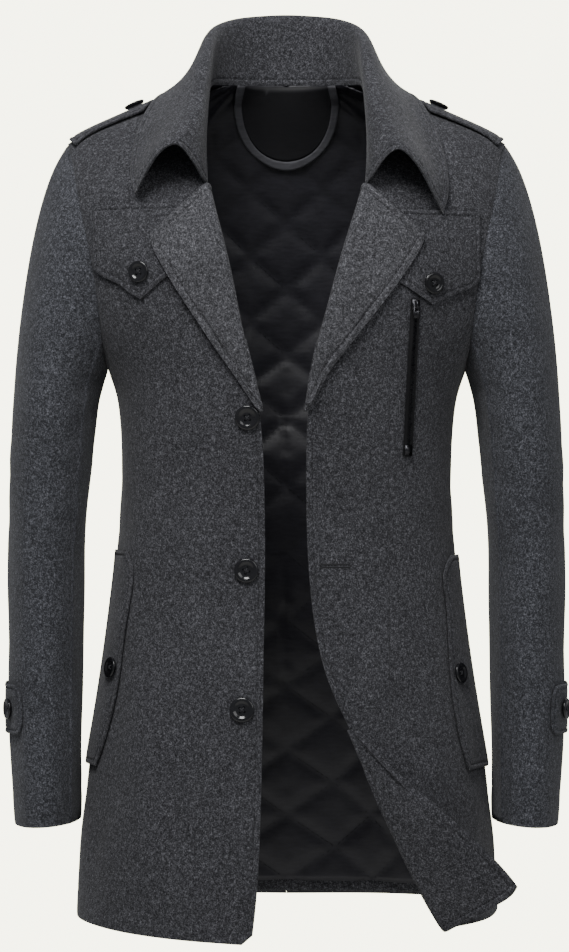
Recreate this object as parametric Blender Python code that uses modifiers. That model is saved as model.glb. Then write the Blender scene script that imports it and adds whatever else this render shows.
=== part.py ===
"""Pea coat in wool, filled out as if worn and open at the front. Metres, +Z up, the front faces -Y.

Every table is in millimetres from the centre of the neck opening, and MM turns a length into metres.
Tables of one side hold the distance from the centre line, and `side` is -1 or 1 for the side it is on.
"""

import math

import bmesh
import bpy
import numpy as np
from mathutils import Matrix

MM = 0.001
CLOTH = 2.4
SEAM = 0.3
FLAP_CLOTH = 2.0
REST = 1.2

WOOL = ((0.045, 0.046, 0.05), 0.9, 0.0)
FACING = ((0.07, 0.071, 0.075), 0.9, 0.0)
LINING = ((0.008, 0.008, 0.01), 0.5, 0.0)
BINDING = ((0.06, 0.06, 0.065), 0.7, 0.0)
HORN = ((0.01, 0.01, 0.012), 0.15, 0.0)
TAPE = ((0.012, 0.012, 0.014), 0.7, 0.0)
METAL = ((0.03, 0.03, 0.032), 0.3, 1.0)

# height, half width, depth in front, depth behind, roundness of the section
TORSO = (
    (-830, 211, 152, 147, 2.4),
    (-793, 209.5, 150, 145, 2.4),
    (-751, 206.5, 147, 142, 2.4),
    (-681, 199, 142, 135, 2.4),
    (-625, 193, 136, 127, 2.4),
    (-569, 184.5, 129, 117, 2.4),
    (-513, 176.5, 123, 108, 2.4),
    (-457, 169.5, 119, 102, 2.4),
    (-401, 165.5, 118, 100, 2.4),
    (-345, 164.5, 121, 105, 2.4),
    (-317, 166.5, 124, 110, 2.4),
    (-289, 170.5, 127, 114, 2.4),
    (-268, 178, 128, 116, 2.4),
    (-250, 187, 128.5, 116.5, 2.4),
    (-225, 200, 129, 117, 2.4),
    (-190, 215, 128, 116, 2.35),
    (-157, 225, 125, 114, 2.3),
    (-118, 229, 116, 110, 2.25),
    (-90, 229.5, 105, 105, 2.2),
    (-68, 227.5, 92, 100, 2.1),
    (-50, 224.5, 77, 94, 2.0),
    (-42, 221, 70, 92, 2.0),
    (-39, 219, 67.5, 91, 2.0),
    (-33, 211, 62.5, 89, 2.0),
    (-26, 198, 57, 86, 2.0),
    (-13, 169, 46, 80, 2.0),
    (-1.5, 143, 36, 74, 2.0),
    (4, 129, 32, 71.5, 2.0),
    (9, 115, 27, 69, 2.0),
    (15.5, 96, 20, 66, 2.0),
    (22, 78, 12, 62, 2.0),
    (27, 66, 8, 60, 2.0),
)

# height, distance of the front edge, then of the fold or roll line, from the centre line
LEFT_EDGE = (
    (-817, 43), (-808, 32.5), (-770, 28), (-655, 23.8), (-539, 22), (-447, 20.6), (-336, 22.6),
    (-309, 25.5), (-270, 37), (-231, 47), (-188, 55.3), (-137, 67), (-116, 73), (-92, 78.5),
)
RIGHT_EDGE = (
    (-806, 153), (-773, 134), (-729, 112), (-679, 90), (-644, 75), (-613, 61), (-604, 55.5),
    (-587, 46.3), (-552, 33.8), (-496, 24.2), (-442, 19.7), (-330, 18.7), (-309, 20), (-276, 27),
    (-237, 36), (-200, 46.5), (-171, 54), (-140, 63), (-116, 71), (-92, 78),
)
NECKLINE_FRONT = ((-89, 79), (-68, 80), (-44, 81), (-18, 81), (4, 80), (22, 78))
NECKLINE_BACK = ((27, 0), (26.8, 23), (26.2, 43), (25.2, 60), (23.8, 71), (22, 78))

# height, distance of the armhole seam from the centre line
ARMHOLE = (
    (-268, 178), (-256, 179), (-237, 181), (-210, 183.5), (-180, 187), (-150, 192.5), (-122, 199),
    (-98, 204.2), (-94, 205), (-75, 208), (-57, 211), (-47, 214.5), (-42, 217.5), (-39, 219),
)

# heights of the rows of a panel, at its inner end and at its outer end
HEM = {-1: ((-817, -803), (-808, -796)), 1: ((-806, -803), (-791, -790))}
HEM_BACK = ((-808, -803), (-796, -796))
BELOW = (-772, -728, -684, -648, -613, -570, -530, -488, -440, -392, -350, -309, -288)
LAPEL_TOP = (-268, -250, -228, -200, -172, -145, -117, -92)
BACK_CENTRE = (-268, -245, -215, -180, -140, -100, -60, -15)
ARM_ROW = len(HEM_BACK) + len(BELOW)
NECK_ROW = ARM_ROW + len(LAPEL_TOP)
PANEL_COLUMNS = 8

# height of the roll line, distance and height of the lapel's edge across from it
LAPEL = {
    -1: (
        (-309, 31, -303), (-288, 45, -281), (-268, 58, -262), (-250, 70, -245), (-228, 84, -223),
        (-200, 101, -198), (-172, 116, -173), (-145, 126, -155), (-117, 129.5, -146), (-92, 130, -138),
    ),
    1: (
        (-309, 26, -303), (-288, 36, -277), (-268, 48, -260), (-250, 60, -245), (-228, 77, -223),
        (-200, 99, -195), (-172, 115, -172), (-145, 126, -155), (-117, 130.5, -146), (-92, 131, -138),
    ),
}
LAPEL_EDGE_HEIGHT = 6.6

# height of the fold, place of the free edge across from it
TURNBACK = (
    (-806, 216, -140, -772), (-791, 221, -139, -763), (-772, 212, -142, -750), (-728, 175, -148, -712),
    (-684, 135, -148, -679), (-648, 99, -143, -649), (-613, 67.5, -138, -612),
)
FOLD_RADIUS = 3.5

# place in the neckline from the notch (0) to the centre back (10), then the five points of the
# collar's section after its seam: top of the stand, crest, start of the fall, middle, edge
COLLAR = (
    (0, (-82, -114, -80), (-93, -124, -63.5), (-107, -130, -51), (-125, -124, -61), (-147, -99, -98)),
    (1, (-79, -100, -57), (-86, -111, -45), (-99, -116, -37), (-124, -108, -45), (-152, -84, -84)),
    (2, (-77, -76, -22), (-81, -84, -11), (-91, -88, -12), (-118, -84, -26), (-151, -66, -60)),
    (3, (-75, -48, 12), (-80, -53, 23), (-89, -54, 18), (-112, -52, 0), (-145, -43, -29)),
    (4, (-72, -24, 42), (-78, -25, 53), (-87, -25, 47), (-103, -24, 22), (-134, -20, -2)),
    (5, (-71, 1, 62), (-77, 2, 74), (-86, 3, 66), (-97, 4, 38), (-125, 6, 8)),
    (6.5, (-61, 29, 76), (-68, 32, 87), (-76, 36, 81), (-86, 44, 48), (-107, 55, 11)),
    (8, (-42, 50, 87), (-47, 56, 97), (-53, 63, 91), (-62, 80, 54), (-70, 96, 14)),
    (10, (0, 62, 92), (0, 69, 102), (0, 77, 96), (0, 95, 60), (0, 110, 18)),
)
COLLAR_RIGHT = (
    (0, (-83, -113, -80), (-95, -122, -64), (-109, -130, -56), (-130, -123, -76), (-151, -98, -118)),
    (1, (-79, -100, -58), (-88, -111, -47), (-102, -117, -41), (-129, -108, -56), (-156, -83, -100)),
    (2, (-77, -76, -23), (-82, -84, -12), (-93, -89, -15), (-121, -85, -32), (-154, -66, -68)),
)
COLLAR_CLEARANCE = 3.8
COLLAR_SEAM = 0.5
COLLAR_STEPS = (0, 0.5, 1, 1.5, 2, 2.5, 3, 3.5, 4, 4.5, 5)

# outer point and inner point of a sleeve section as distance and height, its front, its back, and
# how much of the armhole's own shape it keeps
SLEEVE = (
    (219, -39, 178, -268, -77, 70, 1),
    (234, -62, 178.8, -272, -79, 72, 0.75),
    (247.5, -104, 180, -276, -80, 73, 0.45),
    (258, -155, 181.5, -280.5, -80, 73, 0.2),
    (266, -212, 184, -288, -79.5, 73, 0.05),
    (272, -268, 187.5, -304, -78, 71, 0),
    (275.5, -330, 191.5, -342, -75, 66, 0),
    (277.5, -395, 197, -398, -71, 58, 0),
    (278.5, -457, 200.5, -457, -68, 52, 0),
    (278.5, -541, 202, -541, -71, 41, 0),
    (277, -625, 202.5, -625, -75, 31, 0),
    (273.5, -690, 203, -688, -78, 26, 0),
    (271.5, -716, 203.5, -712, -79, 25, 0),
)
# the sleeve's seams, counted in points of the armhole from its lowest one
FRONT_SLEEVE_SEAM, BACK_SLEEVE_SEAM = 2, 4

# distance and height of a chest flap's lower edge, from its inner end outward, and of its top
CHEST_FLAP = {
    -1: ((95, -172), (105, -174), (115.5, -178.5), (127, -189), (140, -200), (148.5, -195.5),
         (158, -187), (168, -181), (179, -177), (187, -168)),
    1: ((97, -181), (105, -183), (114, -188), (127, -196.5), (140, -205), (150, -201),
        (160, -196), (170, -191.5), (179, -189), (187, -180)),
}
CHEST_FLAP_TOP = {-1: -108, 1: -114}
CHEST_BUTTON = {-1: (141, -174), 1: (140.5, -185)}

# height, distance of the free edge of a side pocket flap, which starts at the side seam
POCKET_FLAP = {
    -1: ((-655, 186), (-640, 181), (-624, 176.5), (-597, 169), (-571, 162.5), (-546, 159), (-521, 155.7),
         (-495, 151), (-470, 147), (-456, 148.5), (-444, 155)),
    1: ((-658, 176), (-640, 171), (-624, 166.5), (-597, 161), (-571, 158.5), (-546, 157.5), (-521, 157),
        (-498, 156), (-475, 151.5), (-461, 153), (-449, 160)),
}
POCKET_FLAP_BACK_ANGLE = 84
POCKET_BUTTON = {-1: (168.5, -559), 1: (166.6, -564)}

FRONT_BUTTONS = ((-37.5, -315), (-38.5, -462), (-42.5, -595))
BUTTON = 24
SMALL_BUTTON = 21
# radius as a share of the button's, height above its back
BUTTON_PROFILE = ((0, 2.2), (0.5, 2.2), (0.72, 3.5), (0.9, 3.5), (1, 2.3), (0.85, 0), (0, 0))

# angle around the sleeve from its outer line towards the front, at the strap's two ends
CUFF_STRAP = (62, -96)
CUFF_STRAP_HEIGHTS = (-625, -576)
CUFF_STRAP_ROUND = 9
CUFF_BUTTON = (38, -600)

EPAULETTE_INNER, EPAULETTE_POINT, EPAULETTE_OUTER = 131, 11, 216
EPAULETTE_HALF_WIDTHS = (21, 25)
EPAULETTE_BUTTON = 150

ZIP_TOP, ZIP_BOTTOM = (123.8, -200), (116.2, -352)
ZIP_TAPE_WIDTH, ZIP_TAPE = 10, 1.0
ZIP_SLIDER_SHARE, ZIP_STOP_SHARE = 0.04, 0.96
# the pull tab's axis in the slider's frame: across, down and out
PULL_AXIS = (0, 1.6, 2.6)
PULL_LENGTH = 11.5

LINING_DEPTH = 6.2
LINING_CLOTH = 1.6
LINING_HALF_ANGLE = 76
LINING_ROWS, LINING_COLUMNS = 24, 14
LINING_HEIGHTS = (-792, 27)
ARMHOLE_TURNING = 9
QUILT_RISE = 2.2
HEM_BAND_HEIGHTS = (-805, -776)
FACING_HALF_WIDTH, FACING_TOP, FACING_BOTTOM = 50, 27, -46
FACING_SHARES, FACING_ROWS = np.linspace(-0.9, 0.9, 13), (0, 0.3, 0.6, 0.85)
NECK_GAP = 3
BINDING_WIDTH = 8


def smooth(table, column, at):
    """The column of a table at a place along its first column, with no swing between the rows."""
    xs = np.array([row[0] for row in table], float)
    ys = np.array([row[column] for row in table], float)
    rise = np.diff(ys) / np.diff(xs)
    turn = rise[:-1] * rise[1:]
    mean = np.where(turn > 0, 2 * turn / np.where(turn > 0, rise[:-1] + rise[1:], 1), 0)
    slope = np.concatenate([rise[:1], mean, rise[-1:]])
    i = int(np.clip(np.searchsorted(xs, at) - 1, 0, len(xs) - 2))
    step = xs[i + 1] - xs[i]
    t = min(max((at - xs[i]) / step, 0), 1)
    return float(
        (1 + 2 * t) * (1 - t) ** 2 * ys[i]
        + t * (1 - t) ** 2 * step * slope[i]
        + t * t * (3 - 2 * t) * ys[i + 1]
        + t * t * (t - 1) * step * slope[i + 1]
    )


def blend(a, b, t):
    return np.asarray(a, float) * (1 - t) + np.asarray(b, float) * t


def unit(v):
    return v / np.linalg.norm(v, axis=-1, keepdims=True)


# ---- the form that the coat fills ----


def torso_value(p):
    """1 on the torso's form, less inside it and more outside."""
    roundness = smooth(TORSO, 4, p[2])
    depth = smooth(TORSO, 2 if p[1] < 0 else 3, p[2])
    return (abs(p[0]) / smooth(TORSO, 1, p[2])) ** roundness + (abs(p[1]) / depth) ** roundness


def torso_slope(p):
    step = 0.05
    return np.array([torso_value(p + e) - torso_value(p - e) for e in np.eye(3) * step]) / (2 * step)


def torso_normal(p):
    return unit(torso_slope(np.asarray(p, float)))


def on_ring(angle, z):
    """The form's point at a height and an angle from the front: 0 front, 90 side, 180 back."""
    power = 2 / smooth(TORSO, 4, z)
    a = math.radians(angle)
    front = math.cos(a) > 0
    depth = smooth(TORSO, 2 if front else 3, z)
    x = smooth(TORSO, 1, z) * abs(math.sin(a)) ** power * (1 if math.sin(a) >= 0 else -1)
    return np.array([x, depth * abs(math.cos(a)) ** power * (-1 if front else 1), z])


def ring_angle(x, z):
    share = min(abs(x) / smooth(TORSO, 1, z), 1)
    return math.degrees(math.asin(share ** (smooth(TORSO, 4, z) / 2)))


def on_front(x, z):
    p = on_ring(ring_angle(x, z), z)
    return np.array([math.copysign(p[0], x), p[1], z])


def on_top(x, y):
    """The shoulder's point above a place in plan."""
    low, high = -110.0, 27.0
    for _ in range(40):
        middle = (low + high) / 2
        if torso_value((x, y, middle)) > 1:
            high = middle
        else:
            low = middle
    return np.array([x, y, low])


def lifted(p, height):
    return p + torso_normal(p) * height


def outside(p, height):
    """The point itself, or moved straight out to that height over the torso where it is nearer."""
    for _ in range(4):
        slope = torso_slope(p)
        steep = np.linalg.norm(slope)
        near = height - (torso_value(p) - 1) / steep
        if near > 0:
            p = p + slope / steep * near
    return p


# ---- making solids ----


def collection(name):
    made = bpy.data.collections.new(name)
    bpy.context.scene.collection.children.link(made)
    return made


def material(name, look):
    colour, roughness, metallic = look
    made = bpy.data.materials.new(name)
    made.use_nodes = True
    shader = made.node_tree.nodes["Principled BSDF"]
    shader.inputs["Base Color"].default_value = (*colour, 1)
    shader.inputs["Roughness"].default_value = roughness
    shader.inputs["Metallic"].default_value = metallic
    made.diffuse_color = (*colour, 1)
    return made


def add(name, mesh, look):
    mesh.materials.append(material(name, look))
    obj = bpy.data.objects.new(name, mesh)
    COAT.objects.link(obj)
    return obj


def frame_at(first, second, third, place):
    """The frame with those three ways at a place in millimetres."""
    rows = [(first[i], second[i], third[i], place[i] * MM) for i in range(3)]
    return Matrix([*rows, (0, 0, 0, 1)])


def mesh_of(name, points, faces):
    shape = bmesh.new()
    verts = [shape.verts.new(np.asarray(p, float) * MM) for p in points]
    for face in faces:
        shape.faces.new([verts[i] for i in face])
    bmesh.ops.recalc_face_normals(shape, faces=shape.faces)
    mesh = bpy.data.meshes.new(name)
    shape.to_mesh(mesh)
    shape.free()
    mesh.shade_smooth()
    mesh.set_sharp_from_angle(angle=math.radians(40))
    return mesh


def wall(name, outer, inner, look):
    """A closed wall between two grids of points, with a rim along each side."""
    outer, inner = np.asarray(outer), np.asarray(inner)
    rows, columns = outer.shape[:2]
    under = rows * columns
    index = np.arange(under).reshape(rows, columns)
    faces = []
    for r in range(rows - 1):
        for c in range(columns - 1):
            quad = [index[r, c], index[r, c + 1], index[r + 1, c + 1], index[r + 1, c]]
            faces.append(quad)
            faces.append([i + under for i in reversed(quad)])
    rim = [*index[0, :], *index[1:, -1], *index[-1, -2::-1], *index[-2:0:-1, 0]]
    for here, after in zip(rim, rim[1:] + rim[:1]):
        if here < after:
            faces += [[after, here, after + under], [here, here + under, after + under]]
        else:
            faces += [[after, here, here + under], [after, here + under, after + under]]
    points = [*outer.reshape(-1, 3), *inner.reshape(-1, 3)]
    return add(name, mesh_of(name, points, faces), look)


def lying(name, grid, height, thickness, look):
    """A wall that lies on the form's points, from a height over them to that and its thickness more."""
    grid = np.asarray(grid)
    out = normals_over(grid)
    return wall(name, grid + out * (height + thickness), grid + out * height, look)


def grid_normals(grid, closed=False):
    """Unit normals of a grid of points, where its columns may join into a loop."""
    if closed:
        wide = np.concatenate([grid[:, -2:], grid, grid[:, :2]], axis=1)
        along = np.gradient(wide, axis=1)[:, 2:-2]
    else:
        along = np.gradient(grid, axis=1, edge_order=2)
    return unit(np.cross(along, np.gradient(grid, axis=0, edge_order=2)))


def mitre(first, second):
    """How a seam's outer points go in to its inner points, from the outward normals on either side."""
    middle = first + second
    size = np.linalg.norm(middle, axis=-1, keepdims=True)
    return -middle / size * CLOTH / np.maximum(size / 2, 0.45)


def across(line, inward, towards):
    """Unit steps over a seam, square to its line and its mitre."""
    step = unit(np.cross(np.gradient(line, axis=0), inward))
    return step * np.sign(np.sum(step * towards, axis=1))[:, None]


# ---- the body's panels ----


def upper_rows(heads):
    """Rows above the armhole's lowest point: place at the inner end, then place at the armhole."""
    return [(*head, *seam) for head, seam in zip(heads, ARMHOLE)]


def panel_grid(rows, side, behind):
    """Points over the form from each row's inner end to its outer end, left a half seam short all round."""
    grid = []
    for inner_z, inner_x, outer_z, outer_x in rows:
        start = ring_angle(inner_x, inner_z)
        stop = 90 if outer_x is None else ring_angle(outer_x, outer_z)
        line = []
        for u in np.linspace(0, 1, PANEL_COLUMNS + 1):
            angle = start + (stop - start) * u
            p = on_ring(180 - angle if behind else angle, inner_z + (outer_z - inner_z) * u)
            line.append((side * (p[0] + SEAM / 2 * behind), p[1] + SEAM / 2 * (1 if behind else -1), p[2]))
        grid.append(line)
    return np.array(grid)


def front_rows(side):
    edge = LEFT_EDGE if side < 0 else RIGHT_EDGE
    below = [*HEM[side], *((z, z) for z in BELOW)]
    rows = [(inner, smooth(edge, 1, inner), outer, None) for inner, outer in below]
    return rows + upper_rows([(z, smooth(edge, 1, z)) for z in LAPEL_TOP] + list(NECKLINE_FRONT))


def back_rows():
    below = [*HEM_BACK, *((z, z) for z in BELOW)]
    rows = [(inner, 0, outer, None) for inner, outer in below]
    return rows + upper_rows([(z, 0) for z in BACK_CENTRE] + list(NECKLINE_BACK))


def normals_over(grid):
    return np.array([[torso_normal(p) for p in row] for row in grid])


def sleeve_sections(side, angles):
    """Points of each section of a sleeve, an ellipse between its outer and inner points."""
    rows = []
    for outer_x, outer_z, inner_x, inner_z, front, behind, _ in SLEEVE:
        outer, inner = np.array([outer_x, 0, outer_z]), np.array([inner_x, 0, inner_z])
        points = (outer + inner) / 2 + (outer - inner) / 2 * np.cos(angles)[:, None]
        points[:, 1] = np.where(angles > 0, front, behind) * np.abs(np.sin(angles))
        rows.append(points * (side, 1, 1))
    return np.array(rows)


def sleeve_grid(loop, side):
    """A sleeve from the armhole's loop of points down to the cuff."""
    outer, inner = np.array(SLEEVE[0][:2]), np.array(SLEEVE[0][2:4])
    middle, reach = (outer + inner) / 2, (outer - inner) / 2
    flat = np.stack([loop[:, 0] * side, loop[:, 2]], axis=1)
    share = np.clip((flat - middle) @ reach / (reach @ reach), -1, 1)
    angles = np.arccos(share) * np.where(loop[:, 1] < 0, 1, -1)
    grid = sleeve_sections(side, angles)
    own = loop - grid[0]
    for row, section in zip(grid, SLEEVE):
        row += own * section[6]
    return grid


def body_side(side):
    """The points of one front and one back, and the ways through their cloth, from its face inward."""
    front = panel_grid(front_rows(side), side, False)
    back = panel_grid(back_rows(), side, True)
    return {
        "front": front,
        "back": back,
        "front_in": -normals_over(front) * CLOTH,
        "back_in": -normals_over(back) * CLOTH,
    }


def join_sleeve(body, side, hand):
    """Makes a sleeve on the armhole, and gives both sides of that seam one mitre."""
    front_arm, back_arm = body["front"][ARM_ROW:, -1], body["back"][ARM_ROW:, -1]
    low, high = (front_arm[0] + back_arm[0]) / 2, (front_arm[-1] + back_arm[-1]) / 2
    loop = np.array([low, *front_arm[1:-1], high, *back_arm[-2:0:-1]])
    sleeve = sleeve_grid(loop, side)
    out = grid_normals(sleeve, closed=True)
    out *= np.sign(np.sum(out * (sleeve - sleeve.mean(axis=1, keepdims=True)), axis=-1, keepdims=True))
    seam_in = mitre(np.array([torso_normal(p) for p in loop]), out[0])
    ring, ring_in = (np.concatenate([points[-1:], points, points[:1]]) for points in (loop, seam_in))
    down = np.tile(sleeve[1].mean(axis=0) - loop.mean(axis=0), (len(ring), 1))
    sleeve[0] = loop + across(ring, ring_in, down)[1:-1] * SEAM
    sleeve_in = -out * CLOTH
    sleeve_in[0] = seam_in
    top = len(front_arm) - 1
    body["front_in"][ARM_ROW:, -1] = seam_in[: top + 1]
    body["back_in"][ARM_ROW:, -1] = [seam_in[0], *seam_in[: top - 1 : -1]]
    make_sleeve(hand, sleeve, sleeve_in)


def make_sleeve(hand, sleeve, inward):
    """Two pieces with a seam in front and one behind, both low down where the arm turns in."""
    count = sleeve.shape[1]
    front, behind = FRONT_SLEEVE_SEAM, count - BACK_SLEEVE_SEAM
    around = unit(np.roll(sleeve, -1, axis=1) - np.roll(sleeve, 1, axis=1)) * SEAM / 2
    pieces = {
        "top": list(range(front, behind + 1)),
        "under": [i % count for i in range(behind, count + front + 1)],
    }
    for name, columns in pieces.items():
        outer = sleeve[:, columns].copy()
        outer[:, 0] += around[:, columns[0]]
        outer[:, -1] -= around[:, columns[-1]]
        wall(f"sleeve_{name}_{hand}", outer, outer + inward[:, columns], WOOL)


def collar_table(side):
    rows = {row[0]: row for row in COLLAR}
    if side > 0:
        rows.update({row[0]: row for row in COLLAR_RIGHT})
    return [(place, *np.ravel(points)) for place, *points in (rows[key] for key in sorted(rows))]


def make_collar(bodies):
    """One wall from the panels' neck seam up the stand, over the crest and down the fall."""
    columns, seam_points = [], []
    for side, body in bodies.items():
        front, back = body["front"][NECK_ROW:, 0], body["back"][-len(NECKLINE_BACK):, 0]
        line = [*front[:-1], (front[-1] + back[-1]) / 2, *back[-2:0:-1], back[0] * (0, 1, 1)]
        table = collar_table(side)
        half = []
        for place in range(len(line)):
            five = [smooth(table, k, place) for k in range(1, 16)]
            half.append(np.reshape(five, (5, 3)) * (-side, 1, 1))
        if side > 0:
            line, half = line[-2::-1], half[-2::-1]
        seam_points += line
        columns += half
    line = np.array(seam_points)
    columns = np.array(columns)
    rise = columns[:, 0] - line
    away = unit(np.cross(np.gradient(line, axis=0), rise))
    away *= np.sign(np.sum(away * (line - (0, -20, 0)) * (1, 1, 0), axis=1))[:, None]
    inward = mitre(np.array([torso_normal(p) for p in line]), away)
    start = line + across(line, inward, rise) * COLLAR_SEAM
    grid = []
    for base, go_in, points in zip(start, inward, columns):
        path = np.array([base + go_in, *points])
        table = [(i, *p) for i, p in enumerate(path)]
        grid.append([[smooth(table, k, step) for k in (1, 2, 3)] for step in COLLAR_STEPS])
    grid = np.array(grid).transpose(1, 0, 2)
    fall = COLLAR_STEPS.index(3)
    for row in grid[fall:]:
        for i, p in enumerate(row):
            row[i] = outside(p, CLOTH + COLLAR_CLEARANCE)
    out = grid_normals(grid)
    if out[fall + 2, len(line) // 2][1] < 0:
        out = -out
    hidden = grid - out * CLOTH
    hidden[0] = start
    wall("collar", grid, hidden, WOOL)
    share_neck_seam(bodies, inward)


def share_neck_seam(bodies, inward):
    """Gives the panels the collar's mitre, which runs from the left notch round to the right one."""
    point = len(NECKLINE_FRONT)
    for body, seam in zip(bodies.values(), (inward, inward[::-1])):
        body["front_in"][NECK_ROW:, 0] = seam[:point]
        body["back_in"][-len(NECKLINE_BACK):, 0] = seam[point - 1 : point - 1 + len(NECKLINE_BACK)][::-1]


# ---- what is turned out along a front edge ----


def fold_points(fold, away, out, radius):
    """Both faces of the half turn that cloth makes from a panel's edge, back over the panel."""
    centre = fold + away * SEAM + out * radius
    visible, hidden = [], []
    for angle in (-90, -45, 0, 45, 90):
        a = math.radians(angle)
        ray = away * math.cos(a) + out * math.sin(a)
        visible.append(centre + ray * (radius + CLOTH))
        hidden.append(centre + ray * radius)
    return visible, hidden


def panel_edge(front, row, side):
    """A panel's point on its inner edge there, the way out over that edge, and the way out of the cloth."""
    fold = front[row, 0]
    out = torso_normal(fold)
    along = unit(front[min(row + 1, len(front) - 1), 0] - front[max(row - 1, 0), 0])
    away = unit(np.cross(along, out))
    return fold, away * np.sign(away @ (fold - front[row, 1])), out


def make_lapel(front, side, hand):
    """From the break up to the notch, folded back over the chest at the roll line."""
    visible, hidden = [], []
    first = NECK_ROW - len(LAPEL[side])
    for k, (_, edge_x, edge_z) in enumerate(LAPEL[side]):
        fold, away, out = panel_edge(front, first + k, side)
        opened = min(k / 3, 1)
        radius = 0.8 + (FOLD_RADIUS - 0.8) * opened
        over, under = fold_points(fold, away, out, radius)
        top = 2 * radius + CLOTH
        edge_height = 3.6 + (LAPEL_EDGE_HEIGHT - 3.6) * opened
        for u in (0.12, 0.3, 0.5, 0.75, 1):
            x, z = blend((abs(fold[0]), fold[2]), (edge_x, edge_z), u)
            p = on_front(side * x, z)
            height = top + (edge_height - top) * u * u * (3 - 2 * u)
            over.append(lifted(p, height))
            under.append(lifted(p, height - CLOTH))
        visible.append(over)
        hidden.append(under)
    wall(f"lapel_{hand}", visible, hidden, FACING)


def make_turnback(front):
    """The right front's lower corner, folded out so that its facing shows."""
    visible, hidden = [], []
    for k, (_, x, y, z) in enumerate(TURNBACK):
        fold, away, out = panel_edge(front, k, 1)
        opened = min((len(TURNBACK) - 1 - k) / 2, 1)
        radius = 0.9 + (FOLD_RADIUS - 0.9) * opened
        over, under = fold_points(fold, away, out, radius)
        start, edge = over[-1], np.array([x, y, z], float)
        for u in (0.12, 0.3, 0.5, 0.75, 1):
            p = blend(start, edge, u) - np.array([0, 5 * opened * math.sin(math.pi * u), 0])
            over.append(p)
            under.append(p + unit(blend(-out, (0, 1, 0), u)) * CLOTH)
        visible.append(over)
        hidden.append(under)
    wall("turnback_right", visible, hidden, FACING)


# ---- flaps, straps and what lies on the cloth ----


def make_chest_flap(side, hand):
    top = CHEST_FLAP_TOP[side]
    grid = []
    for v in (0, 0.35, 0.7, 1):
        grid.append([on_front(side * x, top + (z - top) * v) for x, z in CHEST_FLAP[side]])
    lying(f"chest_flap_{hand}", grid, REST, FLAP_CLOTH, WOOL)


def make_pocket_flap(side, hand):
    grid = []
    for z, x in POCKET_FLAP[side]:
        stop = ring_angle(x, z)
        angles = np.linspace(POCKET_FLAP_BACK_ANGLE, stop, 5)
        line = [on_ring(angle, z) for angle in angles]
        grid.append(np.array(line) * (side, 1, 1))
    lying(f"pocket_flap_{hand}", grid, REST, FLAP_CLOTH, WOOL)


def make_epaulette(side, hand):
    grid = []
    for u in np.linspace(0, 1, 8):
        half = EPAULETTE_HALF_WIDTHS[0] + (EPAULETTE_HALF_WIDTHS[1] - EPAULETTE_HALF_WIDTHS[0]) * u
        line = []
        for v in np.linspace(-1, 1, 7):
            stop = EPAULETTE_OUTER - 0.012 * (half * v) ** 2
            x = EPAULETTE_INNER + EPAULETTE_POINT * abs(v)
            line.append(on_top(side * (x + (stop - x) * u), half * v))
        grid.append(line)
    lying(f"epaulette_{hand}", grid, REST, FLAP_CLOTH, WOOL)


def sleeve_point(angle, height, side):
    """A point of the sleeve at an angle from its outer line, and the way out of the cloth there."""
    by_height = [row[1:2] + row for row in reversed(SLEEVE)]
    outer_x, inner_x, front, behind = (smooth(by_height, k, height) for k in (1, 3, 5, 6))
    a = math.radians(angle)
    reach, middle = (outer_x - inner_x) / 2, (outer_x + inner_x) / 2
    depth = front if angle > 0 else behind
    p = np.array([side * (middle + reach * math.cos(a)), depth * abs(math.sin(a)), height])
    return p, unit(np.array([side * math.cos(a) / reach, abs(math.sin(a)) / depth, 0]))


def make_cuff_strap(side, hand):
    low, high = CUFF_STRAP_HEIGHTS
    outer, inner = [], []
    for v in (0, 0.08, 0.3, 0.5, 0.7, 0.92, 1):
        z = low + (high - low) * v
        cut = CUFF_STRAP_ROUND * max(0, 1 - min(v, 1 - v) / 0.2) ** 2
        over, under = [], []
        for angle in np.linspace(CUFF_STRAP[0] - cut, CUFF_STRAP[1], 12):
            p, out = sleeve_point(angle, z, side)
            over.append(p + out * (REST + FLAP_CLOTH))
            under.append(p + out * REST)
        outer.append(over)
        inner.append(under)
    wall(f"cuff_strap_{hand}", outer, inner, WOOL)


def make_button(name, place, out, size):
    """A turned button with a raised rim, its back on the cloth at `place` and its face along `out`."""
    mesh = bpy.data.meshes.new(name)
    ring = [(share * size / 2 * MM, 0, height * MM) for share, height in reversed(BUTTON_PROFILE)]
    mesh.from_pydata(ring, [(i, i + 1) for i in range(len(ring) - 1)], [])
    obj = add(name, mesh, HORN)
    turn = obj.modifiers.new("turned", "SCREW")
    turn.steps = turn.render_steps = 16
    turn.use_merge_vertices = True
    turn.merge_threshold = 0.00005
    turn.use_smooth_shade = True
    turn.use_normal_flip = True
    out = unit(np.asarray(out, float))
    across_x = unit(np.cross((0, 0, 1) if abs(out[2]) < 0.9 else (0, 1, 0), out))
    up = np.cross(out, across_x)
    obj.matrix_world = frame_at(across_x, up, out, place)


def make_buttons():
    for number, (x, z) in enumerate(FRONT_BUTTONS, 1):
        p = on_front(x, z)
        make_button(f"button_front_{number}", lifted(p, SEAM), torso_normal(p), BUTTON)
    over_flap = REST + FLAP_CLOTH + SEAM
    for side, hand in ((-1, "left"), (1, "right")):
        for name, (x, z) in (("chest", CHEST_BUTTON[side]), ("pocket", POCKET_BUTTON[side])):
            p = on_front(side * x, z)
            make_button(f"button_{name}_{hand}", lifted(p, over_flap), torso_normal(p), SMALL_BUTTON)
        p, out = sleeve_point(*CUFF_BUTTON, side)
        make_button(f"button_cuff_{hand}", p + out * over_flap, out, SMALL_BUTTON)
        p = on_top(side * EPAULETTE_BUTTON, 0)
        make_button(f"button_epaulette_{hand}", lifted(p, over_flap + 0.2), torso_normal(p), SMALL_BUTTON)


# ---- inside ----


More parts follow.
